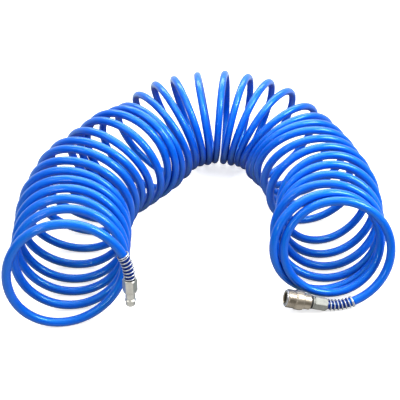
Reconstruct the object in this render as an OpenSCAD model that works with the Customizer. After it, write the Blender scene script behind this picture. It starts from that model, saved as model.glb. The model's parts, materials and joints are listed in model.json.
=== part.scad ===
// Coiled compressed-air hose laid down in a U, with a quick coupler on one
// end and a plug on the other. Millimetres, +Z up, stands on z = 0.
// The plug end lies on the -X side, the coupler end on the +X side, and the
// bend of the U at +Y.

/* [Hose] */
// Outside diameter of the hose
hose_od = 10; // [9.6:0.1:10.2]
// Bore of the hose
hose_bore = 6.5; // [6.2:0.1:6.5]
// Sides of the swept end stretches
hose_sides = 10; // [8:1:12]

/* [Coil] */
// Outside diameter over the turns
coil_od = 136; // [132:1:137]
// Wall of the tube that holds the same mass as the turns
coil_wall = 1.8; // [1.6:0.1:4]
// Length of the straight leg on the plug side
left_leg = 98; // [90:1:102]
// Radius of the gentle bends at the foot of the U
side_r = 125; // [115:5:140]
// Heading of the plug side's slanting stretch, degrees
left_turn = 33; // [30:1:35]
// Length of the plug side's slanting stretch
left_slant = 140; // [130:1:144]
// Radius of the coil's axis round the end of the U
apex_r = 93; // [86:1:98]
// Heading of the coupler side's slanting stretch, degrees
right_turn = 163; // [160:1:168]
// Length of the coupler side's slanting stretch
right_slant = 98; // [85:1:104]
// Length of the straight leg on the coupler side
right_leg = 92; // [80:1:96]
// Gap between the stretches that move apart, degrees round the bend
stretch_gap = 0.6; // [0.5:0.1:2]

/* [Coupler] */
// Largest diameter of the release sleeve
sleeve_od = 22.6; // [22.2:0.1:23.4]
// How far the sleeve reaches back from the mouth
sleeve_end = 20.8; // [20.6:0.1:21]
// How far the sleeve is pulled back to let the plug go
sleeve_travel = 3.5; // [3:0.1:3.5]
// Diameter of the socket that takes the plug's collar
socket_d = 12.3; // [12.2:0.05:12.4]
// Diameter of the sealing bore that takes the plug's tip
seal_bore_d = 10.2; // [10.1:0.05:10.3]
// Outside diameter of the coupler body
body_od = 16.3; // [16.1:0.05:16.3]
// Diameter of the body behind the sleeve
rear_od = 18.2; // [17.6:0.1:18.6]
// Diameter of a locking ball
ball_d = 3; // [2.9:0.05:3]
// Distance of the balls from the mouth
ball_z = 7.4; // [7.3:0.05:7.4]
// Turns of the sleeve's return spring
sleeve_spring_turns = 3.5; // [2.5:0.5:3.5]
// Turns of the valve's spring
valve_spring_turns = 3.5; // [3:0.5:4]

/* [Clamp nuts] */
// Width across the flats
nut_af = 14; // [13.8:0.1:14.2]
// Length of a nut
nut_len = 15.4; // [15.2:0.1:15.4]

/* [Plug] */
// Diameter of the sealing tip
tip_d = 10; // [9.8:0.1:10]
// Diameter of the collar behind the tip
collar_d = 11.8; // [11.6:0.1:12]
// Diameter of the locking groove
groove_d = 9.2; // [9:0.1:9.8]

/* [Guard springs] */
// Wire diameter
guard_wire = 1.2; // [0.9:0.1:1.2]
// Diameter at the middle of the wire
guard_d = 11.9; // [11.8:0.1:12.4]
// Open turns of a guard spring
guard_turns = 6.5; // [5:0.5:7]

/* [Hidden] */
$fn = 64;
hr = hose_od / 2;
hb = hose_bore / 2;
cr = coil_od / 2;

// middle of the footprint, taken off every point below
org = [0.9, 63.4];

// hose-side faces of the two clamp nuts, and how the coupler lies
plug_face = [-76.5, -143.5, 67];
coupler_face = [141, -120, 8.2];
coupler_pitch = 14;
coupler_yaw = 2;

// route of the hose from the plug's nut, round the first turn, to the coil
plug_route = [[-76.5, -143.5, 67], [-76.5, -142.9, 73], [-77.3, -142.4, 79], [-80, -141.6, 90.5], [-85, -140.8, 101.5],
              [-91.5, -140, 111.5], [-99.5, -139.5, 120], [-117.5, -139, 131], [-138, -139.5, 136], [-158.5, -140.5, 133.5],
              [-177.5, -142.5, 124.5], [-192, -145, 110], [-201.5, -147.5, 91.5], [-206, -149.5, 71], [-204, -151, 50.5],
              [-196, -151, 31], [-181.5, -150, 16], [-163, -147, 7], [-142.5, -142.5, 5.8], [-123, -137, 10.5],
              [-106.5, -131, 21], [-93.5, -125, 36.5], [-85.5, -119, 55], [-84, -113.5, 75], [-87, -110, 88]];
// route of the hose from the coupler's nut, round the last turns, to the coil
coupler_route = [[141, -120, 8.2], [147, -119.6, 7], [153, -118.8, 6.7], [159, -117.8, 6.8], [165, -116.6, 7.4],
                 [173, -115, 9.4], [184, -112, 14.3], [193, -109, 21], [205.5, -103, 37], [211, -97, 56],
                 [210, -91.5, 76], [202, -86.5, 94.5], [188, -82.5, 109.5], [169.5, -79.5, 119], [149, -78.5, 122.5],
                 [128.5, -79.5, 118.5], [110.5, -82, 108], [98, -85.5, 91.5], [92, -90, 72], [93.5, -95, 52],
                 [102.5, -99, 33.5], [117.5, -101.5, 19], [136.5, -102, 11], [157.5, -100.5, 10], [177, -96, 16.5],
                 [194, -90, 30], [206, -83, 46], [212.5, -76, 64], [213, -72, 76]];

// ---- vectors ----
function unit(v) = v / norm(v);
function cat(p, i, t) =
    let (n = len(p), a = p[max(i - 1, 0)], b = p[i], c = p[min(i + 1, n - 1)], d = p[min(i + 2, n - 1)])
    0.5 * (2 * b + (c - a) * t + (2 * a - 5 * b + 4 * c - d) * t * t + (3 * b - a - 3 * c + d) * t * t * t);
// a smooth curve through the points p, with k steps between two of them
function curve(p, k) = [for (i = [0 : len(p) - 2], j = [0 : k - 1]) cat(p, i, j / k), p[len(p) - 1]];
// the same points, with one more between each two under the guard spring
function route_rings(p) = [for (i = [0 : len(p) - 2], j = [0 : (i < 4 ? 1 : 0)]) cat(p, i, j / 2), p[len(p) - 1]];
function along(p) = [for (i = [0 : len(p) - 1]) unit(p[min(i + 1, len(p) - 1)] - p[max(i - 1, 0)])];
function lengths(p, i = 0, s = 0) = i >= len(p) ? [] : concat([s], lengths(p, i + 1, i + 1 < len(p) ? s + norm(p[i + 1] - p[i]) : s));
function at_len(p, l, s, i = 0) = (i + 2 >= len(p) || s <= l[i + 1]) ? p[i] + (p[i + 1] - p[i]) * (s - l[i]) / (l[i + 1] - l[i]) : at_len(p, l, s, i + 1);
// rings of n points round the path p; m holds a normal for each point
function rings(p, t, m, r, n) = [for (i = [0 : len(p) - 1], j = [0 : n - 1])
    let (a = 360 * j / n, u = unit(m[i] - t[i] * (m[i] * t[i])), w = cross(t[i], u)) p[i] + r * (u * cos(a) + w * sin(a))];
function skin(k, n) = concat([[for (j = [0 : n - 1]) n - 1 - j]],
    [for (i = [0 : k - 2], j = [0 : n - 1]) [i * n + j, i * n + (j + 1) % n, (i + 1) * n + (j + 1) % n]],
    [for (i = [0 : k - 2], j = [0 : n - 1]) [i * n + j, (i + 1) * n + (j + 1) % n, (i + 1) * n + j]],
    [[for (j = [0 : n - 1]) (k - 1) * n + j]]);
function flip(f) = [for (x = f) [for (i = [len(x) - 1 : -1 : 0]) x[i]]];

// a tube of radius r along p; the normals m keep it from twisting
module sweep(p, m, r, n) {
    polyhedron(points = rings(p, along(p), m, r, n), faces = flip(skin(len(p), n)), convexity = 10);
}
// a hose stretch; its route never runs along Y for long, so Y keeps it untwisted
module hose_run(route) {
    p = route_rings(route);
    sweep(p, [for (x = p) [0, 1, 0]], hr, hose_sides);
}
// a wire coil of radius r round the first stretch of a route
module coil_round(route, s0, s1, r, wire, turns, close, phase) {
    p = curve(route, 6);
    l = lengths(p);
    per = 14;
    total = turns + close;
    steps = round(total * per);
    c = [for (i = [0 : steps])
        let (q = i / per,
             s = q < turns ? s0 + (s1 - s0 - close * wire * 1.06) * q / turns
                           : s1 - (total - q) * wire * 1.06,
             o = at_len(p, l, s), f = unit(at_len(p, l, s + 0.8) - at_len(p, l, max(s - 0.8, 0))),
             u = unit(cross([0, 1, 0], f)), w = cross(f, u))
        [o + r * (u * cos(360 * q + phase) + w * sin(360 * q + phase)), u * cos(360 * q + phase) + w * sin(360 * q + phase)]];
    sweep([for (x = c) x[0]], [for (x = c) x[1]], wire / 2, 6);
}
// a wire coil on the Z axis, its end turns drawn close
module coil_z(z0, z1, r, wire, turns) {
    per = 16;
    total = turns + 1.5;
    steps = round(total * per);
    c = [for (i = [0 : steps])
        let (q = i / per,
             lo = z0 + wire / 2, hi = z1 - wire / 2,
             e = wire * 0.78,
             z = q < 0.75 ? lo + e * q / 0.75
                 : q > total - 0.75 ? hi - e * (total - q) / 0.75
                 : lo + e + (hi - lo - 2 * e) * (q - 0.75) / turns)
        [[r * cos(360 * q), r * sin(360 * q), z], [cos(360 * q), sin(360 * q), 0]]];
    sweep([for (x = c) x[0]], [for (x = c) x[1]], wire / 2, 6);
}

// ---- the coil's axis, in plan ----
function on_arc(c, r, a) = c + r * [-cos(a), sin(a)];
leg0 = [-148, -111];
p0 = leg0 + [0, left_leg];
c1 = p0 + [side_r, 0];
p1 = on_arc(c1, side_r, left_turn);
p2 = p1 + left_slant * [sin(left_turn), cos(left_turn)];
c2 = p2 + apex_r * [cos(left_turn), -sin(left_turn)];
p3 = on_arc(c2, apex_r, right_turn);
p4 = p3 + right_slant * [sin(right_turn), cos(right_turn)];
c3 = p4 + side_r * [cos(right_turn), -sin(right_turn)];
p5 = on_arc(c3, side_r, 180);
// headings at which the stretches are parted
cut_left = 53;
cut_right = 126;

module place() { translate([-org[0], -org[1], 0]) children(); }
module coil_arc(c, r, a, b) {
    translate([c[0], c[1], cr]) rotate([0, 0, 180 - b]) rotate_extrude(angle = b - a) translate([r, 0]) difference() {
        circle(d = coil_od);
        circle(d = coil_od - 2 * coil_wall);
    }
}
// a straight stretch, its wall 0.2 thinner on both faces, running into the
// bend before it or the bend after it so that the two join
module coil_line(p, a, l, before, after) {
    translate([p[0], p[1], cr]) rotate([0, 0, -a]) rotate([-90, 0, 0]) translate([0, 0, -before]) difference() {
        cylinder(h = l + before + after, d = coil_od - 0.4);
        translate([0, 0, -1]) cylinder(h = l + before + after + 2, d = coil_od - 2 * coil_wall + 0.4);
    }
}

// ---- the coil, parted where its stretches move ----
module hose_coil_left_front() {
    color("royalblue") place() union() {
        coil_line(leg0, 0, left_leg, 0, 1.5);
        coil_arc(c1, side_r, 0, left_turn);
    }
}
module hose_coil_left_back() {
    color("royalblue") place() union() {
        coil_line(p1, left_turn, left_slant, -0.1, 1.5);
        coil_arc(c2, apex_r, left_turn, cut_left);
    }
}
module hose_coil_apex() {
    color("royalblue") place() coil_arc(c2, apex_r, cut_left + stretch_gap, cut_right);
}
module hose_coil_right_back() {
    color("royalblue") place() union() {
        coil_arc(c2, apex_r, cut_right + stretch_gap, right_turn);
        coil_line(p3, right_turn, right_slant, 1.5, -0.1);
    }
}
module hose_coil_right_front() {
    color("royalblue") place() union() {
        coil_arc(c3, side_r, right_turn, 180);
        coil_line(p5, 180, right_leg, 1.5, 0);
    }
}
module hose_plug_end() { color("mediumblue") place() hose_run(plug_route); }
module hose_coupler_end() { color("mediumblue") place() hose_run(coupler_route); }

// ---- frames of the two fittings ----
// plug: z = 0 at the nut's hose-side face, +z out along the nose
module at_plug() { place() translate(plug_face) rotate([5, 181, 0]) children(); }
// coupler: z = 0 at the mouth, +z towards the hose
coupler_len = 33.6 + nut_len;
module at_coupler() {
    place() translate(coupler_face) rotate([0, 90 + coupler_pitch, coupler_yaw]) translate([0, 0, -coupler_len]) children();
}
module turned(pts) { rotate_extrude() polygon(pts); }

// ---- short straight hose ends on their barbs ----
module hose_cuff_plug() {
    color("mediumblue") at_plug() turned([[hb, 0], [hr, 0], [hr, 8.6], [hb, 8.6]]);
}
module hose_cuff_coupler() {
    color("mediumblue") at_coupler() translate([0, 0, coupler_len - 8.6]) turned([[hb, 0], [hr, 0], [hr, 8.6], [hb, 8.6]]);
}

// ---- clamp nut: z = 0 at the hose side ----
module clamp_nut() {
    intersection() {
        difference() {
            cylinder(h = nut_len, d = nut_af / cos(30), $fn = 6);
            translate([0, 0, -1]) cylinder(h = 10, r = hr + 0.15);
            translate([0, 0, 6.6]) cylinder(h = 2.8, r1 = hr + 0.15, r2 = 6.5);
            translate([0, 0, 9.4]) cylinder(h = nut_len, r = 6.5);
        }
        turned([[0, 0], [nut_af / 2 - 0.1, 0], [nut_af / 2 + 0.8, 1.2], [nut_af / 2 + 1.6, 2.2],
                [nut_af / 2 + 1.6, nut_len - 0.8], [nut_af / 2 + 0.4, nut_len], [0, nut_len]]);
    }
}
module plug_clamp_nut() { color("silver") at_plug() clamp_nut(); }
module coupler_clamp_nut() { color("silver") at_coupler() translate([0, 0, coupler_len]) mirror([0, 0, 1]) clamp_nut(); }

// ---- plug nipple ----
module plug_nipple() {
    f = nut_len + 0.2;
    color("gainsboro") at_plug() turned([
        [2.6, 2.1], [3.25, 2.1], [3.6, 5], [3.3, 5], [3.6, 7.6], [3.3, 7.6], [3.3, 10.1], [6.4, 10.1], [6.4, f],
        [7, f], [7.2, f + 0.2], [7.2, f + 0.9], [7, f + 1.1], [5.3, f + 1.1], [5.3, f + 8.2], [5.1, f + 8.4],
        [groove_d / 2, f + 8.8], [groove_d / 2, f + 10.3], [collar_d / 2 - 0.3, f + 11.2], [collar_d / 2, f + 11.5],
        [collar_d / 2, f + 12.8], [collar_d / 2 - 0.25, f + 13.1], [tip_d / 2, f + 13.8], [tip_d / 2, f + 18],
        [tip_d / 2 - 0.25, f + 18.6], [tip_d / 2 - 0.8, f + 19.1], [3.7, f + 19.2], [3.2, f + 18.6], [2.6, f + 17.6]]);
}
module plug_guard_spring() {
    color("lightsteelblue") place() coil_round(plug_route, 0.65, 31, guard_d / 2, guard_wire, guard_turns, 1.5, 200);
}

// ---- quick coupler ----
// the sleeve's spring sits between these two
spring_front = 10.5;
spring_stop = spring_front + sleeve_travel + 4.6;
module coupler_body() {
    b = body_od / 2;
    s = socket_d / 2;
    q = seal_bore_d / 2;
    e = rear_od / 2;
    color("silver") at_coupler() difference() {
        turned([[s + 0.8, 0], [b + 0.1, 0], [b + 0.35, 0.25], [b + 0.35, 0.5], [b - 0.35, 0.5], [b - 0.35, 1.3],
                [b, 1.3], [b, spring_stop], [9.5, spring_stop], [9.7, spring_stop + 0.2], [9.7, spring_stop + 1.5],
                [9.5, spring_stop + 1.7], [e, spring_stop + 1.8], [e, 28.6], [e - 0.6, 29.2], [7.05, 29.2], [7.05, 25],
                [6.2, 25], [6.2, 21.1], [q, 20], [q, 17.4], [6.9, 17.4], [6.9, 15], [q, 15], [q, 13.2], [s, 12.2],
                [s, 5.85], [s + 0.25, 5.6], [s + 0.25, 0.7]]);
        for (a = [0 : 90 : 270]) rotate([0, 0, a]) translate([0, 0, ball_z]) rotate([0, 90, 0]) {
            translate([0, 0, 5]) cylinder(h = 4, r = ball_d / 2 - 0.06);
            translate([0, 0, s + 0.15]) cylinder(h = 4, r = ball_d / 2 + 0.06);
        }
    }
}
module coupler_sleeve() {
    o = sleeve_od / 2;
    i = body_od / 2 + 0.25;
    n = o - 0.9;
    grip = [for (k = [0 : 6]) each [[n, 3.1 + k * 1.1], [n - 0.25, 3.25 + k * 1.1], [n - 0.25, 3.6 + k * 1.1], [n, 3.75 + k * 1.1]]];
    color("tan") at_coupler() turned(concat([[i, 1.35], [n - 0.9, 1.35], [n - 0.25, 2], [n, 2.5]], grip, [
        [n, 10.9], [n + 0.25, 11.3], [o - 0.15, 11.8], [o, 12.2], [o, 18.2], [o - 0.3, 18.6], [o - 0.4, 20.1],
        [o - 0.8, sleeve_end], [9.9, sleeve_end], [9.9, spring_front], [i, spring_front], [i, ball_z - 0.2],
        [i + 1, ball_z - 0.2], [i + 1, 2.3], [i, 2.3]]));
}
module sleeve_spring() {
    color("lightsteelblue") at_coupler() coil_z(spring_front + 0.05, spring_stop - 0.05, body_od / 4 + 4.95, 0.9, sleeve_spring_turns - 1.5);
}
module sleeve_snap_ring() {
    color("dimgray") at_coupler() rotate([0, 0, 12]) rotate_extrude(angle = 336)
        polygon([[body_od / 2 - 0.3, 0.55], [9.4, 0.55], [9.4, 1.25], [body_od / 2 - 0.3, 1.25]]);
}
// a ball, held in at 5.25 from the axis until the sleeve is drawn back
module ball(a) {
    color("gainsboro") at_coupler() rotate([0, 0, a]) translate([5.25 + ball_d / 2, 0, ball_z]) sphere(d = ball_d);
}
module locking_ball_low() { ball(0); }
module locking_ball_back() { ball(90); }
module locking_ball_high() { ball(180); }
module locking_ball_front() { ball(270); }

module valve_poppet() {
    color("goldenrod") at_coupler() difference() {
        turned([[0, 16.6], [3, 16.6], [3.4, 17], [3.4, 19.6], [4.1, 20.2], [4.1, 21.75], [6, 22.2], [6, 24],
                [3.4, 24], [3.4, 25.6], [0, 25.6]]);
        for (a = [45 : 90 : 315]) rotate([0, 0, a]) translate([6.3, 0, 21]) cylinder(h = 5, r = 1.5);
        translate([-4, -0.9, 16]) cube([8, 1.8, 2.6]);
        translate([-0.9, -4, 16]) cube([1.8, 8, 2.6]);
    }
}
module valve_seal() {
    color("dimgray") at_coupler() translate([0, 0, 20.95]) rotate_extrude() translate([4.9, 0]) circle(r = 0.72);
}
module valve_spring() {
    color("lightsteelblue") at_coupler() coil_z(24.05, 31.95, 4.6, 0.9, valve_spring_turns - 1.5);
}
module plug_seal() {
    color("dimgray") at_coupler() translate([0, 0, 16.2]) rotate_extrude() translate([5.88, 0]) circle(r = 0.95);
}
module buffer_ring() {
    color([0.1, 0.1, 0.1]) at_coupler() turned([[6.6, 29.2], [7.4, 29.2], [7.7, 29.5], [7.7, 31.3], [7.4, 31.6], [6.6, 31.6]]);
}
module tail_gasket() {
    color("dimgray") at_coupler() turned([[6.3, 25], [6.95, 25], [6.95, 26], [6.3, 26]]);
}
module coupler_tail() {
    e = coupler_len;
    color("gainsboro") at_coupler() turned([
        [6.2, 26], [7, 26], [7, 29.2], [6.6, 29.2], [6.6, 31.6], [7.3, 31.6], [7.5, 31.8], [7.5, 33.1], [7.3, 33.3],
        [6.4, 33.3], [6.4, e - 10.1], [3.3, e - 10.1], [3.3, e - 7.6], [3.6, e - 7.6], [3.3, e - 5], [3.6, e - 5],
        [3.25, e - 2.1], [2.6, e - 2.1], [2.6, 32], [5.6, 32], [5.6, 28], [6.2, 28]]);
}
module coupler_guard_spring() {
    color("lightsteelblue") place() coil_round(coupler_route, 0.65, 31.5, guard_d / 2, guard_wire, guard_turns, 1.5, 330);
}

hose_coil_left_front();
hose_coil_left_back();
hose_coil_apex();
hose_coil_right_back();
hose_coil_right_front();
hose_plug_end();
hose_coupler_end();
hose_cuff_plug();
hose_cuff_coupler();
plug_nipple();
plug_clamp_nut();
plug_guard_spring();
coupler_body();
coupler_sleeve();
sleeve_spring();
sleeve_snap_ring();
locking_ball_low();
locking_ball_high();
locking_ball_back();
locking_ball_front();
valve_poppet();
valve_seal();
valve_spring();
plug_seal();
buffer_ring();
coupler_tail();
tail_gasket();
coupler_clamp_nut();
coupler_guard_spring();
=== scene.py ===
"""Coiled air hose: the looks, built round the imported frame."""

import json
import math

import bmesh
import bpy
import numpy as np
from mathutils import Matrix, Vector

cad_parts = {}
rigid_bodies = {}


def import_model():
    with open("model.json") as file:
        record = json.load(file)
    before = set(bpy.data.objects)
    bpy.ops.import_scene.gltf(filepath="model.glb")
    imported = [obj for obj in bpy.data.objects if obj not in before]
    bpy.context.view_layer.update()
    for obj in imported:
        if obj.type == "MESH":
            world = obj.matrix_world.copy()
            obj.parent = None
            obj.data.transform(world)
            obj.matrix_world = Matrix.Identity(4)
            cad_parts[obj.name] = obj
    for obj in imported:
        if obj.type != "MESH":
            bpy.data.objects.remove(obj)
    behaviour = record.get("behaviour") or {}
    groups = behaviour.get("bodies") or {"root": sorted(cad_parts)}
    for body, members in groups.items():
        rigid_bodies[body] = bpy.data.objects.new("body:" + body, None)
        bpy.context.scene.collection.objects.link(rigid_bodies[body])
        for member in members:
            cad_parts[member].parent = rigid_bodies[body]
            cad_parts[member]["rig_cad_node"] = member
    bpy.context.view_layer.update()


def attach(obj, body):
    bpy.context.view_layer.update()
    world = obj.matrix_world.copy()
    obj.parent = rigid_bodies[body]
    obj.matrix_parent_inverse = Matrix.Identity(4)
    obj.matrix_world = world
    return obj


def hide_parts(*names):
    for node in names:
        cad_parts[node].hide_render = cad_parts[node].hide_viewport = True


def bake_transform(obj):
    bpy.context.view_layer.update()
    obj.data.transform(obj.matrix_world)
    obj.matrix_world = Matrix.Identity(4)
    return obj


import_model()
sc = bpy.context.scene

# ------------------------------------------------------------------ the frame
ORG = np.array([0.9, 63.4, 0.0])  # part.scad's org: its points minus this are the row frame


def row(p):
    """A point of part.scad, in mm, as metres in the row frame."""
    return (np.asarray(p, float) - ORG) / 1000.0


HOSE_OD = 10.0
PLUG_FACE = np.array([-76.5, -143.5, 67.0])
COUPLER_FACE = np.array([141.0, -120.0, 8.2])
NUT_LEN = 15.4
COUPLER_LEN = 33.6 + NUT_LEN

# ------------------------------------------------------------------ the camera
CAM_PITCH, CAM_FAR, CAM_F = 34.75, 930.7, 765.9
CAM_AT = np.array([-1.83, 0.0, 68.90])
th = math.radians(CAM_PITCH)
fw = np.array([0.0, math.cos(th), -math.sin(th)])
eye = row(CAM_AT - fw * CAM_FAR)
cam_data = bpy.data.cameras.new("camera")
cam_data.sensor_fit = "HORIZONTAL"
cam_data.sensor_width = 36.0
cam_data.lens = 36.0 * CAM_F / 400.0
cam_data.clip_start, cam_data.clip_end = 0.05, 20.0
cam = bpy.data.objects.new("camera", cam_data)
sc.collection.objects.link(cam)
cam.location = Vector(eye)
cam.rotation_mode = "QUATERNION"
cam.rotation_quaternion = Vector(fw).to_track_quat("-Z", "Y")
sc.camera = cam


# ------------------------------------------------------------------ curves
def spline(xs, ys, x):
    """Cubic spline through the points, its third derivative the same on the first two and on the last two spans."""
    xs, ys, x = np.asarray(xs, float), np.asarray(ys, float), np.asarray(x, float)
    n = len(xs)
    h, d = np.diff(xs), np.diff(ys) / np.diff(xs)
    a, b = np.zeros((n, n)), np.zeros(n)
    a[0, 0], a[0, 1] = h[1], h[0] + h[1]
    b[0] = ((h[0] + 2 * (h[0] + h[1])) * h[1] * d[0] + h[0] ** 2 * d[1]) / (h[0] + h[1])
    for i in range(1, n - 1):
        a[i, i - 1], a[i, i], a[i, i + 1] = h[i], 2 * (h[i - 1] + h[i]), h[i - 1]
        b[i] = 3 * (h[i] * d[i - 1] + h[i - 1] * d[i])
    a[-1, -1], a[-1, -2] = h[-2], h[-1] + h[-2]
    b[-1] = (h[-1] ** 2 * d[-2] + (2 * (h[-1] + h[-2]) + h[-1]) * h[-2] * d[-1]) / (h[-1] + h[-2])
    m = np.linalg.solve(a, b)
    return hermite(xs, ys, m, x)


def hermite(xs, ys, m, x):
    i = np.clip(np.searchsorted(xs, x, side="right") - 1, 0, len(xs) - 2)
    h = xs[i + 1] - xs[i]
    t = (x - xs[i]) / h
    return (
        ys[i] * (1 + 2 * t) * (1 - t) ** 2
        + ys[i + 1] * t * t * (3 - 2 * t)
        + m[i] * h * t * (1 - t) ** 2
        - m[i + 1] * h * t * t * (1 - t)
    )


def monotone(xs, ys, x):
    """Cubic through the points that never overshoots them."""
    xs, ys, x = np.asarray(xs, float), np.asarray(ys, float), np.asarray(x, float)
    h, d = np.diff(xs), np.diff(ys) / np.diff(xs)
    m = np.zeros(len(xs))
    for i in range(1, len(xs) - 1):
        if d[i - 1] * d[i] > 0:
            w1, w2 = 2 * h[i] + h[i - 1], h[i] + 2 * h[i - 1]
            m[i] = (w1 + w2) / (w1 / d[i - 1] + w2 / d[i])

    def end(h0, h1, d0, d1):
        v = ((2 * h0 + h1) * d0 - h0 * d1) / (h0 + h1)
        if v * d0 <= 0:
            return 0.0
        if d0 * d1 <= 0 and abs(v) > 3 * abs(d0):
            return 3 * d0
        return v

    m[0], m[-1] = end(h[0], h[1], d[0], d[1]), end(h[-1], h[-2], d[-1], d[-2])
    return hermite(xs, ys, m, x)


# ------------------------------------------------------------------ the hose's route
# The turns are counted from the plug. At each listed turn: where the middle of
# the turn stands in plan (mm), which way the coil heads, how far the turn leans
# back, the turn's radius, and how far it is off the floor.
T_END = 33.79
AXIS_T = [0, 0.25, 0.5, 0.75, 1, 1.5, 2, 3, 4, 5, 6, 7, 8, 9, 10, 11, 12, 13, 14, 15, 16, 17, 18, 19, 20, 21, 22,
    23, 24, 25, 26, 27, 28, 29, 30, 31, 31.75, 32.25, 32.75, 33, 33.25, 33.5, 33.8]
AXIS_X = [-139.1, -140.3, -143.4, -145.9, -144.9, -143.8, -146.2, -147.3, -148.3, -150.4, -147.6, -142.5, -136.4,
    -122.7, -108.0, -101.8, -88.9, -75.3, -59.8, -42.9, -24.5, -3.9, 21.8, 45.4, 66.9, 85.3, 103.6, 117.4, 126.5,
    134.3, 140.8, 145.1, 154.9, 152.3, 152.4, 144.8, 143.7, 139.7, 148.6, 152.3, 150.8, 151.3, 155.7]
AXIS_Y = [-154.0, -146.7, -139.7, -132.5, -125.0, -109.7, -96.2, -77.5, -58.6, -37.0, -11.2, 18.8, 40.3, 60.4,
    82.3, 96.6, 106.1, 126.7, 157.6, 186.0, 198.9, 206.7, 213.1, 208.7, 201.0, 192.5, 171.5, 133.8, 112.2, 90.1,
    66.8, 34.7, 8.2, -14.4, -35.4, -56.7, -75.4, -82.6, -86.0, -88.1, -92.4, -96.7, -101.0]
HEAD_T = [0, 0.5, 1, 1.5, 2, 3, 4, 5, 6, 7, 8, 9, 10, 11, 12, 13, 14, 15, 16, 17, 18, 19, 20, 21, 22, 23, 24, 25,
    26, 27, 28, 29, 30, 31, 32, 32.5, 33, 33.8]
HEAD = [-9.5, -9.2, -9.7, -6.5, -2.2, 0.6, 1.8, 6.1, 7.8, 14.8, 17.2, 26.6, 30.7, 25.1, 31.3, 38.8, 49.1, 60.1,
    68.5, 77.9, 89.5, 98.9, 109.4, 117.4, 132.3, 147.0, 158.8, 170.8, 169.9, 168.8, 169.6, 170.5, 177.6, 186.8,
    168.9, 172.1, 176.6, 176.4]
LEAN = [1.5, 8.8, 10.8, 14.2, 13.3, 10.5, 6.0, 0.2, -5.9, -10.3, -12.5, -14.4, -11.1, -3.8, -1.7, -10.4, -16.5,
    -17.3, -13.6, -8.8, 0.8, 7.0, 12.7, 17.9, 24.2, 19.7, 16.3, 12.9, 9.7, 2.4, -12.0, -14.6, -17.8, -17.8, -13.2,
    -14.9, -13.7, -18.0]
RAD_T = [0, 0.4, 0.8, 1.2, 1.6, 2.1, 2.6, 3.3, 4, 5, 6, 7, 8, 9, 10, 11, 12, 13, 14, 15, 16, 17, 18, 19, 20, 21,
    22, 23, 24, 25, 26, 27, 28, 29, 30, 31, 31.5, 32, 32.4, 32.75, 33.05, 33.3, 33.55, 33.8]
RAD = [63.4, 63.7, 62.4, 61.7, 61.2, 61.2, 61.6, 62.4, 62.8, 63.3, 63.7, 64.4, 65.1, 65.5, 64.9, 64.3, 64.8, 62.9,
    63.1, 63.4, 63.3, 62.2, 62.0, 62.1, 62.3, 61.8, 61.0, 61.7, 61.7, 61.5, 61.1, 61.0, 60.5, 60.7, 60.5, 60.7,
    61.9, 61.5, 60.9, 60.5, 60.7, 60.1, 60.5, 60.8]
LIFT_T = [0, 0.3, 0.6, 1, 2, 32, 32.75, 33.2, 33.5, 33.8]
LIFT = [-1.5, 4.1, -2.2, 4.9, 0.0, 0.0, 4.5, 0.0, 1.4, 1.7]


def route(t):
    """The hose's centre line at turn t, in mm, in part.scad's points."""
    ax, ay = spline(AXIS_T, AXIS_X, t), spline(AXIS_T, AXIS_Y, t)
    head, lean = np.radians(spline(HEAD_T, HEAD, t)), np.radians(spline(HEAD_T, LEAN, t))
    r, lift, al = spline(RAD_T, RAD, t), monotone(LIFT_T, LIFT, t), 2 * np.pi * t
    o = np.zeros_like(t)
    s = np.stack([np.sin(head), np.cos(head), o], -1)
    u = np.stack([np.cos(head), -np.sin(head), o], -1)
    v = np.cos(lean)[:, None] * np.array([0, 0, 1.0]) + np.sin(lean)[:, None] * s
    mid = np.stack([ax, ay, r * np.cos(lean) + HOSE_OD / 2 + lift], -1)
    return mid + (r * np.cos(al))[:, None] * u + (r * np.sin(al))[:, None] * v


def unit(v):
    v = np.asarray(v, float)
    return v / np.linalg.norm(v, axis=-1, keepdims=True)


def rot(axis, deg):
    return np.array(Matrix.Rotation(math.radians(deg), 3, axis))


# frames of the two fittings, as in part.scad: local point -> part.scad's points
PLUG_R = rot("Z", 0) @ rot("Y", 181) @ rot("X", 5)
COUPLER_R = rot("Z", 2) @ rot("Y", 104)


def at_plug(p):
    return np.asarray(p, float) @ PLUG_R.T + PLUG_FACE


def at_coupler(p):
    q = np.asarray(p, float) - np.array([0, 0, COUPLER_LEN])
    return q @ COUPLER_R.T + COUPLER_FACE


PER_TURN = 72
ts = np.linspace(0, T_END, int(T_END * PER_TURN) + 1)
line = route(ts)
# pin both ends to the fittings, and run them on over the barbs
start_gap, end_gap = at_plug([0, 0, 0]) - line[0], at_coupler([0, 0, COUPLER_LEN]) - line[-1]
w0 = np.clip(1 - ts / 0.35, 0, 1) ** 2
w1 = np.clip(1 - (T_END - ts) / 0.35, 0, 1) ** 2
line = line + w0[:, None] * start_gap + w1[:, None] * end_gap
inside = np.linspace(8.4, 1.2, 5)
line_full = np.concatenate(
    [
        at_plug(np.stack([0 * inside, 0 * inside, inside], -1)),
        line,
        at_coupler(np.stack([0 * inside, 0 * inside, COUPLER_LEN - inside[::-1]], -1)),
    ]
)
hose_line = row(line_full)


# ------------------------------------------------------------------ mesh helpers
def tangents(p):
    t = np.gradient(p, axis=0)
    return unit(t)


def carried(p, first):
    """Normals carried along p without twisting, starting near first."""
    t = tangents(p)
    n = np.zeros_like(p)
    n[0] = unit(first - t[0] * (first @ t[0]))
    for i in range(1, len(p)):
        v = p[i] - p[i - 1]
        c1 = v @ v
        r1 = n[i - 1] - (2 / c1) * (v @ n[i - 1]) * v
        t1 = t[i - 1] - (2 / c1) * (v @ t[i - 1]) * v
        v2 = t[i] - t1
        c2 = v2 @ v2
        n[i] = r1 if c2 < 1e-18 else r1 - (2 / c2) * (v2 @ r1) * v2
        n[i] = unit(n[i] - t[i] * (n[i] @ t[i]))
    return t, n


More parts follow.
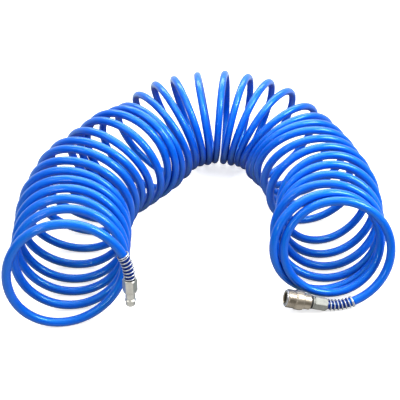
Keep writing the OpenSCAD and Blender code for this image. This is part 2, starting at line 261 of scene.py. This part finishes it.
def mesh_object(name, verts, faces, smooth=True, sharp=None):
    me = bpy.data.meshes.new(name)
    me.from_pydata([tuple(v) for v in verts], [], [tuple(f) for f in faces])
    me.validate()
    bm = bmesh.new()
    bm.from_mesh(me)
    bmesh.ops.recalc_face_normals(bm, faces=bm.faces)
    if sharp is not None:
        lim = math.radians(sharp)
        for e in bm.edges:
            if len(e.link_faces) == 2 and e.calc_face_angle(0) > lim:
                e.smooth = False
    for f in bm.faces:
        f.smooth = smooth
    bm.to_mesh(me)
    bm.free()
    me.update()
    ob = bpy.data.objects.new(name, me)
    sc.collection.objects.link(ob)
    return ob


def tube(name, p, radius, sides, first=(0, 1, 0), profile=None, lay=True):
    """A closed tube round p. With lay, a UV map holds metres along it and turns round it."""
    t, n = carried(p, np.asarray(first, float))
    b = np.cross(t, n)
    a = np.arange(sides) * 2 * np.pi / sides
    rad = np.full(len(p), radius) if np.isscalar(radius) else np.asarray(radius)
    ring = n[:, None, :] * np.cos(a)[None, :, None] + b[:, None, :] * np.sin(a)[None, :, None]
    v = (p[:, None, :] + rad[:, None, None] * ring).reshape(-1, 3)
    k, f = len(p), []
    for i in range(k - 1):
        for j in range(sides):
            j2 = (j + 1) % sides
            f.append((i * sides + j, i * sides + j2, (i + 1) * sides + j2, (i + 1) * sides + j))
    f.append(tuple(range(sides - 1, -1, -1)))
    f.append(tuple((k - 1) * sides + j for j in range(sides)))
    ob = mesh_object(name, v, f, sharp=60)
    if lay:
        s = np.concatenate([[0], np.cumsum(np.linalg.norm(np.diff(p, axis=0), axis=1))])
        uv = ob.data.uv_layers.new(name="lay")
        idx = np.zeros(len(ob.data.loops), np.int32)
        ob.data.loops.foreach_get("vertex_index", idx)
        starts = np.zeros(len(ob.data.polygons), np.int32)
        totals = np.zeros(len(ob.data.polygons), np.int32)
        ob.data.polygons.foreach_get("loop_start", starts)
        ob.data.polygons.foreach_get("loop_total", totals)
        i, j = idx // sides, (idx % sides).astype(float)
        for st, n_ in zip(starts, totals):
            if n_ == 4:
                q = j[st : st + 4]
                if q.max() - q.min() > sides / 2:
                    q[q < sides / 2] += sides
        out = np.stack([s[i] * 10.0, j / sides], -1)
        uv.data.foreach_set("uv", out.ravel().astype(np.float32))
    return ob


def filleted(profile, r, closed=True, steps=3):
    """The (radius, z) corners of a turned profile, each softened by r mm where there is room."""
    p = [np.array(q, float) for q in profile]
    out, n = [], len(p)
    for i in range(n):
        if not closed and i in (0, n - 1):
            out.append(p[i])
            continue
        a, b, c = p[i - 1], p[i], p[(i + 1) % n]
        u, w = a - b, c - b
        lu, lw = np.linalg.norm(u), np.linalg.norm(w)
        ang = math.acos(max(-1, min(1, float(u @ w) / (lu * lw + 1e-12))))
        if ang > math.radians(168) or b[0] < 1e-6:
            out.append(b)
            continue
        k = min(r, 0.42 * lu, 0.42 * lw)
        s, e = b + u / lu * k, b + w / lw * k
        for j in range(steps + 1):
            q = j / steps
            out.append((1 - q) ** 2 * s + 2 * q * (1 - q) * b + q * q * e)
    return out


def turned(name, profile, place, sides=96, soft=0.12, sharp=32, closed=True):
    """A solid turned from (radius, z) corners in mm, put in place."""
    pr = filleted(profile, soft, closed)
    v, f = [], []
    for r, z in pr:
        for j in range(sides):
            a = 2 * math.pi * j / sides
            v.append((r * math.cos(a), r * math.sin(a), z))
    k = len(pr)
    for i in range(k if closed else k - 1):
        i2 = (i + 1) % k
        for j in range(sides):
            j2 = (j + 1) % sides
            f.append((i * sides + j, i * sides + j2, i2 * sides + j2, i2 * sides + j))
    ob = mesh_object(name, row(place(np.array(v))), f, sharp=sharp)
    bm = bmesh.new()
    bm.from_mesh(ob.data)
    bmesh.ops.remove_doubles(bm, verts=bm.verts, dist=1e-7)
    bmesh.ops.recalc_face_normals(bm, faces=bm.faces)
    bm.to_mesh(ob.data)
    bm.free()
    return ob


# ------------------------------------------------------------------ materials
def new_material(name):
    m = bpy.data.materials.new(name)
    m.use_nodes = True
    t = m.node_tree
    t.nodes.clear()
    out = t.nodes.new("ShaderNodeOutputMaterial")
    b = t.nodes.new("ShaderNodeBsdfPrincipled")
    t.links.new(b.outputs["BSDF"], out.inputs["Surface"])
    return m, t, b


def node(t, kind, **values):
    n = t.nodes.new(kind)
    for k, v in values.items():
        if k in n.inputs:
            n.inputs[k].default_value = v
        else:
            setattr(n, k, v)
    return n


def ramp(t, stops):
    r = t.nodes.new("ShaderNodeValToRGB")
    e = r.color_ramp.elements
    while len(e) > 1:
        e.remove(e[-1])
    e[0].position, e[0].color = stops[0][0], (*stops[0][1], 1)
    for pos, col in stops[1:]:
        x = e.new(pos)
        x.color = (*col, 1)
    return r


def noise(t, scale, detail=3.0, rough=0.5, coord="Object", stretch=None):
    tc = t.nodes.new("ShaderNodeTexCoord")
    n = t.nodes.new("ShaderNodeTexNoise")
    n.inputs["Scale"].default_value = scale
    n.inputs["Detail"].default_value = detail
    n.inputs["Roughness"].default_value = rough
    if stretch:
        mp = t.nodes.new("ShaderNodeMapping")
        mp.inputs["Scale"].default_value = stretch
        t.links.new(tc.outputs[coord], mp.inputs["Vector"])
        t.links.new(mp.outputs["Vector"], n.inputs["Vector"])
    else:
        t.links.new(tc.outputs[coord], n.inputs["Vector"])
    return n


def grey(v, warm=0.0):
    return (v * (1 + warm), v, v * (1 - 1.5 * warm))


def hose_material(name, lo, hi, level):
    """Clear blue polyurethane: strong blue in the mass, cyan where light skims it, and a wet gloss on top; painted
    shade darkens the colour and thins the gloss where turns shade each other.
    """
    m, t, b = new_material(name)
    big = noise(t, 9.0, 2.0, 0.5)
    col = ramp(t, [(0.3, lo), (0.7, hi)])
    t.links.new(big.outputs["Fac"], col.inputs["Fac"])
    # painted shade: ambient occlusion darkens the base colour where turns shade each other
    turn_shade_ao = t.nodes.new("ShaderNodeAmbientOcclusion")
    turn_shade_ao.samples = 8
    turn_shade_ao.inputs["Distance"].default_value = 0.14
    painted_turn_shade = ramp(t, [(0.12, (0.18, 0.19, 0.48)), (0.45, (0.60, 0.64, 0.88)), (0.78, (1.0, 1.0, 1.0))])
    t.links.new(turn_shade_ao.outputs["AO"], painted_turn_shade.inputs["Fac"])
    # the blue times the painted shade
    tint = t.nodes.new("ShaderNodeMix")
    tint.data_type = "RGBA"
    tint.blend_type = "MULTIPLY"
    tint.inputs[0].default_value = 1.0
    t.links.new(col.outputs["Color"], tint.inputs[6])
    t.links.new(painted_turn_shade.outputs["Color"], tint.inputs[7])
    t.links.new(tint.outputs[2], b.inputs["Base Color"])
    # draw lines: noise stretched along the hose, read from the lay map
    draw = noise(t, 3.0, 4.0, 0.6, "UV", (0.25, 30.0, 1.0))
    fine = noise(t, 260.0, 2.0, 0.5)
    mix = t.nodes.new("ShaderNodeMath")
    mix.operation = "MULTIPLY_ADD"
    t.links.new(draw.outputs["Fac"], mix.inputs[0])
    mix.inputs[1].default_value = 0.6
    t.links.new(fine.outputs["Fac"], mix.inputs[2])
    bump = t.nodes.new("ShaderNodeBump")
    bump.inputs["Strength"].default_value = 0.05
    bump.inputs["Distance"].default_value = 0.0004
    t.links.new(mix.outputs["Value"], bump.inputs["Height"])
    t.links.new(bump.outputs["Normal"], b.inputs["Normal"])
    rough = ramp(t, [(0.3, (0.36, 0.36, 0.36)), (0.7, (0.46, 0.46, 0.46))])
    t.links.new(big.outputs["Fac"], rough.inputs["Fac"])
    t.links.new(rough.outputs["Color"], b.inputs["Roughness"])
    b.inputs["IOR"].default_value = 1.5
    b.inputs["Specular IOR Level"].default_value = level
    b.inputs["Specular Tint"].default_value = (0.06, 1.0, 0.8, 1.0)
    # painted shade on the gloss: the coat weight falls where turns shade each other
    wet = ramp(t, [(0.15, grey(0.12)), (0.7, grey(1.0))])
    t.links.new(turn_shade_ao.outputs["AO"], wet.inputs["Fac"])
    t.links.new(wet.outputs["Color"], b.inputs["Coat Weight"])
    b.inputs["Coat Roughness"].default_value = 0.045
    b.inputs["Coat IOR"].default_value = 1.33
    b.inputs["Subsurface Weight"].default_value = 0.15
    b.inputs["Subsurface Radius"].default_value = (0.05, 0.35, 1.0)
    b.inputs["Subsurface Scale"].default_value = 0.004
    return m


def metal_material(name, lo, hi, rough, metallic=1.0):
    """Plated metal: patchy tint and roughness, fine tool marks, and painted shade in bores and grooves."""
    m, t, b = new_material(name)
    patch = noise(t, 160.0, 3.0, 0.6)
    col = ramp(t, [(0.3, lo), (0.7, hi)])
    t.links.new(patch.outputs["Fac"], col.inputs["Fac"])
    # painted shade: ambient occlusion darkens the colour in bores and grooves
    recess_shade_ao = t.nodes.new("ShaderNodeAmbientOcclusion")
    recess_shade_ao.samples = 6
    recess_shade_ao.inputs["Distance"].default_value = 0.012
    dark = ramp(t, [(0.4, grey(0.07, 0.15)), (0.88, grey(1.0))])
    t.links.new(recess_shade_ao.outputs["AO"], dark.inputs["Fac"])
    both = t.nodes.new("ShaderNodeMix")
    both.data_type = "RGBA"
    both.blend_type = "MULTIPLY"
    both.inputs[0].default_value = 1.0
    t.links.new(col.outputs["Color"], both.inputs[6])
    t.links.new(dark.outputs["Color"], both.inputs[7])
    t.links.new(both.outputs[2], b.inputs["Base Color"])
    b.inputs["Metallic"].default_value = metallic
    rr = ramp(t, [(0.3, (rough * 0.8,) * 3), (0.7, (rough * 1.25,) * 3)])
    fine = noise(t, 900.0, 3.0, 0.6)
    t.links.new(fine.outputs["Fac"], rr.inputs["Fac"])
    t.links.new(rr.outputs["Color"], b.inputs["Roughness"])
    bump = t.nodes.new("ShaderNodeBump")
    bump.inputs["Strength"].default_value = 0.12
    bump.inputs["Distance"].default_value = 0.0002
    t.links.new(fine.outputs["Fac"], bump.inputs["Height"])
    t.links.new(bump.outputs["Normal"], b.inputs["Normal"])
    return m


def rubber_material(name, col, rough=0.6):
    m, t, b = new_material(name)
    n = noise(t, 500.0, 3.0, 0.6)
    c = ramp(t, [(0.3, tuple(0.8 * x for x in col)), (0.7, tuple(1.3 * x for x in col))])
    t.links.new(n.outputs["Fac"], c.inputs["Fac"])
    t.links.new(c.outputs["Color"], b.inputs["Base Color"])
    r = ramp(t, [(0.3, (rough * 0.85,) * 3), (0.7, (min(1, rough * 1.2),) * 3)])
    t.links.new(n.outputs["Fac"], r.inputs["Fac"])
    t.links.new(r.outputs["Color"], b.inputs["Roughness"])
    bump = t.nodes.new("ShaderNodeBump")
    bump.inputs["Strength"].default_value = 0.2
    bump.inputs["Distance"].default_value = 0.0002
    t.links.new(n.outputs["Fac"], bump.inputs["Height"])
    t.links.new(bump.outputs["Normal"], b.inputs["Normal"])
    return m


M_HOSE = hose_material("hose_blue", (0.0006, 0.090, 0.67), (0.0010, 0.113, 0.77), 0.9)
# a darker copy of the hose material: painted shade for the hose under the guard wires
M_PAINTED_SHADE = hose_material("hose_blue_painted_shade", (0.003, 0.022, 0.23), (0.005, 0.028, 0.30), 0.2)
M_NICKEL = metal_material("nickel_plate", (0.66, 0.65, 0.59), (0.80, 0.79, 0.72), 0.36)
M_SATIN = metal_material("nickel_satin", (0.33, 0.34, 0.31), (0.41, 0.42, 0.39), 0.66, metallic=0.7)
M_SLEEVE = metal_material("sleeve_plate", (0.42, 0.37, 0.29), (0.54, 0.48, 0.39), 0.38)
M_STEEL = metal_material("spring_wire", (0.66, 0.70, 0.78), (0.78, 0.82, 0.90), 0.32, metallic=0.6)
M_BRASS = metal_material("brass", (0.62, 0.44, 0.16), (0.74, 0.56, 0.24), 0.28)
M_BALL = metal_material("ball_steel", (0.70, 0.70, 0.70), (0.80, 0.80, 0.80), 0.10)
M_BLACK = rubber_material("black_rubber", (0.012, 0.012, 0.012))


def paint(ob, mat):
    ob.data.materials.clear()
    ob.data.materials.append(mat)
    return ob


# ------------------------------------------------------------------ the hose
hose = tube("hose", hose_line, HOSE_OD / 2000.0, 20)
paint(hose, M_HOSE)
# painted shade: the hose under the guards gets a darker copy of its material, for the shadow between the wires
hose.data.materials.append(M_PAINTED_SHADE)
run = np.concatenate([[0], np.cumsum(np.linalg.norm(np.diff(hose_line, axis=0), axis=1))])
ring = np.minimum(run, run[-1] - run)[:-1] < 0.037
kind = np.zeros(len(hose.data.polygons), np.int32)
kind[: 20 * len(ring)] = np.repeat(ring, 20)
kind[20 * len(ring):] = 1
hose.data.polygons.foreach_set("material_index", kind)
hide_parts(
    "hose_coil_left_front", "hose_coil_left_back", "hose_coil_apex", "hose_coil_right_back", "hose_coil_right_front",
    "hose_plug_end", "hose_coupler_end", "hose_cuff_plug", "hose_cuff_coupler",
)


def turn_centres(p, turn=0.41, step=0.004):
    """For each point of p, the middle of the turn it is on."""
    s = np.concatenate([[0], np.cumsum(np.linalg.norm(np.diff(p, axis=0), axis=1))])
    u = np.arange(0, s[-1], step)
    n = int(round(turn / step))
    k = np.hanning(2 * n + 1)
    q = [np.convolve(np.pad(np.interp(u, s, p[:, i]), n, mode="edge"), k / k.sum(), mode="valid") for i in range(3)]
    return np.stack([np.interp(s, u, v) for v in q], -1)


# each ring of the mesh is set at its turn's middle, the object's transform is baked in, and the rings are put back
# where they were
at_rest = np.zeros(3 * len(hose.data.vertices), np.float32)
hose.data.vertices.foreach_get("co", at_rest)
hose.data.vertices.foreach_set("co", np.repeat(turn_centres(hose_line), 20, axis=0).astype(np.float32).ravel())
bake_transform(hose)
hose.data.vertices.foreach_set("co", at_rest)
hose.data.update()


# ------------------------------------------------------------------ guard springs
def length_along(p):
    return np.concatenate([[0], np.cumsum(np.linalg.norm(np.diff(p, axis=0), axis=1))])


def guard_spring(name, centre, s0, s1, turns, close, wire, dia, phase=0.0, per=40):
    """Wire wound round the hose's own line, from s0 to s1 mm along it, its last turns close together."""
    l = length_along(centre)
    total = turns + close
    q = np.linspace(0, total, int(total * per) + 1)
    pitch = wire * 1.06
    body_end = s1 - close * pitch
    s = np.where(q < turns, s0 + (body_end - s0) * q / turns, s1 - (total - q) * pitch)
    # ease the step from open to close pitch
    k = np.exp(-0.5 * (np.arange(-12, 13) / 5.0) ** 2)
    s = np.convolve(np.pad(s, 12, mode="reflect", reflect_type="odd"), k / k.sum(), mode="valid")

    def at(x):
        return np.stack([np.interp(x, l, centre[:, i]) for i in range(3)], -1)

    o = at(s)
    t = unit(at(s + 0.6) - at(np.maximum(s - 0.6, 0)))
    u = unit(np.cross(np.array([0, 1.0, 0]), t))
    w = np.cross(t, u)
    a = 2 * np.pi * q + phase
    r = dia / 2
    c = o + r * (u * np.cos(a)[:, None] + w * np.sin(a)[:, None])
    ob = tube(name, row(c), wire / 2000.0, 12, first=(0, 0, 1), lay=False)
    paint(ob, M_STEEL)
    return ob


GUARD_WIRE, GUARD_DIA = 1.2, 11.9
plug_spring = guard_spring("plug_guard_wire", line, 0.65, 31.0, 6.5, 1.5, GUARD_WIRE, GUARD_DIA, math.radians(200))
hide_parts("plug_guard_spring")
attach(plug_spring, "plug_side")
coupler_spring = guard_spring("coupler_guard_wire", line[::-1], 0.65, 31.5, 6.5, 1.5, GUARD_WIRE, GUARD_DIA, math.radians(330))
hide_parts("coupler_guard_spring")
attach(coupler_spring, "coupler_side")



def inner_spring(name, z0, z1, radius, wire, turns, node):
    """A closed-end spring inside the coupler, from z0, against the part that moves, to z1, against the part that stays;
    built at rest and tied to no body.
    """
    total, ends = turns + 1.5, wire * 0.78
    q = np.linspace(0, total, int(total * 28) + 1)
    lo, hi = z0 + wire / 2, z1 - wire / 2
    z = np.where(q < 0.75, lo + ends * q / 0.75,
                 np.where(q > total - 0.75, hi - ends * (total - q) / 0.75, lo + ends + (hi - lo - 2 * ends) * (q - 0.75) / turns))
    c = np.stack([radius * np.cos(2 * np.pi * q), radius * np.sin(2 * np.pi * q), z], -1)
    ob = tube(name, row(at_coupler(c)), wire / 2000.0, 10, first=(0, 0, 1), lay=False)
    paint(ob, M_STEEL)
    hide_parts(node)
    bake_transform(ob)


inner_spring("sleeve_spring_wire", 10.55, 18.55, 9.025, 0.9, 2.0, "sleeve_spring")
inner_spring("valve_spring_wire", 24.05, 31.95, 4.6, 0.9, 2.0, "valve_spring")

# ------------------------------------------------------------------ carried-over CAD nodes
for name, mat in (
    ("plug_nipple", M_NICKEL), ("plug_clamp_nut", M_NICKEL), ("coupler_body", M_SLEEVE), ("coupler_sleeve", M_SLEEVE),
    ("coupler_tail", M_SATIN), ("coupler_clamp_nut", M_SATIN), ("sleeve_spring", M_STEEL), ("valve_spring", M_STEEL),
    ("sleeve_snap_ring", M_STEEL), ("locking_ball_low", M_BALL), ("locking_ball_high", M_BALL),
    ("locking_ball_back", M_BALL), ("locking_ball_front", M_BALL), ("valve_poppet", M_BRASS), ("valve_seal", M_BLACK),
    ("plug_seal", M_BLACK), ("tail_gasket", M_BLACK), ("buffer_ring", M_BLACK),
):
    ob = next(o for o in sc.objects if o.get("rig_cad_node") == name)
    for i in range(max(1, len(ob.data.materials))):
        if len(ob.data.materials) <= i:
            ob.data.materials.append(mat)
        else:
            ob.data.materials[i] = mat

# ------------------------------------------------------------------ stage
floor_me = bpy.data.meshes.new("floor")
s = 6.0
floor_me.from_pydata([(-s, -s, 0), (s, -s, 0), (s, s, 0), (-s, s, 0)], [], [(0, 1, 2, 3)])
floor = bpy.data.objects.new("floor", floor_me)
sc.collection.objects.link(floor)
m, t, b = new_material("floor_pale")
fn = noise(t, 3.0, 2.0, 0.5)
fc = ramp(t, [(0.0, (0.68, 0.68, 0.68)), (1.0, (0.72, 0.72, 0.72))])
t.links.new(fn.outputs["Fac"], fc.inputs["Fac"])
t.links.new(fc.outputs["Color"], b.inputs["Base Color"])
b.inputs["Roughness"].default_value = 0.7
b.inputs["Specular IOR Level"].default_value = 0.1
b.inputs["Emission Color"].default_value = (1, 1, 1, 1)
b.inputs["Emission Strength"].default_value = 0.7
floor.data.materials.append(m)
floor.visible_glossy = floor.visible_diffuse = floor.visible_shadow = False
# what the floor throws back up at the hose comes from a greyer twin of it, out of sight
bounce = floor.copy()
bounce.data = floor_me.copy()
bounce.name = "floor_bounce"
sc.collection.objects.link(bounce)
m, t, b = new_material("floor_grey")
fn = noise(t, 3.0, 2.0, 0.5)
fc = ramp(t, [(0.0, (0.23, 0.23, 0.23)), (1.0, (0.26, 0.26, 0.26))])
t.links.new(fn.outputs["Fac"], fc.inputs["Fac"])
t.links.new(fc.outputs["Color"], b.inputs["Base Color"])
b.inputs["Roughness"].default_value = 0.7
bounce.data.materials.clear()
bounce.data.materials.append(m)
bounce.visible_diffuse = True
bounce.visible_shadow = True
bounce.visible_camera = False
bounce.location.z = -0.001

world = bpy.data.worlds.new("studio")
sc.world = world
world.use_nodes = True
wt = world.node_tree
wt.nodes.clear()
wo = wt.nodes.new("ShaderNodeOutputWorld")
bg = wt.nodes.new("ShaderNodeBackground")
tc = wt.nodes.new("ShaderNodeTexCoord")
sp = wt.nodes.new("ShaderNodeSeparateXYZ")
wt.links.new(tc.outputs["Generated"], sp.inputs["Vector"])
# behind the hose: the white backdrop, dark below its foot; in front: a dark room over a pale floor
lift = node(wt, "ShaderNodeMath", operation="MULTIPLY_ADD")
lift.inputs[1].default_value = 0.5
lift.inputs[2].default_value = 0.5
wt.links.new(sp.outputs["Z"], lift.inputs[0])

behind = ramp(wt, [(0.0, grey(0.12)), (0.18, grey(0.12)), (0.28, (0.70, 0.86, 0.95)), (0.60, (0.70, 0.86, 0.95)), (0.70, grey(0.6)), (1.0, grey(0.5))])
ahead = ramp(wt, [(0.0, grey(0.8)), (0.35, grey(0.8)), (0.42, grey(0.10, 0.15)), (0.60, grey(0.08, 0.15)), (0.68, grey(0.40)), (1.0, grey(0.5))])
wt.links.new(lift.outputs["Value"], behind.inputs["Fac"])
wt.links.new(lift.outputs["Value"], ahead.inputs["Fac"])
far = node(wt, "ShaderNodeMapRange", interpolation_type="SMOOTHSTEP")
far.inputs["From Min"].default_value = -0.2
far.inputs["From Max"].default_value = 0.25
wt.links.new(sp.outputs["Y"], far.inputs["Value"])
add = wt.nodes.new("ShaderNodeMix")
add.data_type = "RGBA"
wt.links.new(far.outputs["Result"], add.inputs[0])
wt.links.new(ahead.outputs["Color"], add.inputs[6])
wt.links.new(behind.outputs["Color"], add.inputs[7])
wt.links.new(add.outputs[2], bg.inputs["Color"])
bg.inputs["Strength"].default_value = 1.0
# seen directly, past the floor's edge, the studio is one plain pale tone
plain = wt.nodes.new("ShaderNodeBackground")
plain.inputs["Color"].default_value = (1.0, 1.0, 1.0, 1.0)
seen = wt.nodes.new("ShaderNodeLightPath")
pick = wt.nodes.new("ShaderNodeMixShader")
wt.links.new(seen.outputs["Is Camera Ray"], pick.inputs[0])
wt.links.new(bg.outputs["Background"], pick.inputs[1])
wt.links.new(plain.outputs["Background"], pick.inputs[2])
wt.links.new(pick.outputs["Shader"], wo.inputs["Surface"])


def area(name, loc, at, size, power, color=(1, 1, 1)):
    d = bpy.data.lights.new(name, "AREA")
    d.shape = "RECTANGLE"
    d.size, d.size_y = size
    d.energy = power
    d.color = color
    o = bpy.data.objects.new(name, d)
    sc.collection.objects.link(o)
    o.location = loc
    o.rotation_mode = "QUATERNION"
    o.rotation_quaternion = (Vector(at) - Vector(loc)).to_track_quat("-Z", "Y")
    return o


def softbox(name, az, el, away, wide, high, glow, color=(1, 1, 1)):
    """A softbox az degrees right of straight back, el up, that many metres away, its face as bright as glow."""
    a, e = math.radians(az), math.radians(el)
    at = (0.0, 0.0, 0.06)
    loc = [at[0] + away * math.cos(e) * math.sin(a), at[1] + away * math.cos(e) * math.cos(a), at[2] + away * math.sin(e)]
    return area(name, loc, at, (wide, high), glow * math.pi * wide * high, color)


softbox("right_box", 115, 46, 1.3, 0.56, 0.50, 17.0)
softbox("left_box", -125, 42, 1.3, 0.44, 0.42, 3.4)
area("top_box", (0.0, -0.06, 0.72), (0.0, -0.02, 0.0), (0.52, 0.46), 2.9 * math.pi * 0.52 * 0.46)
softbox("back_box", 0, 50, 1.4, 1.9, 0.46, 6.5)
softbox("front_strip", -155, 12, 1.5, 0.2, 0.3, 14.0)

sc.view_settings.view_transform = "Standard"
sc.view_settings.look = "None"
sc.view_settings.exposure = 0.0
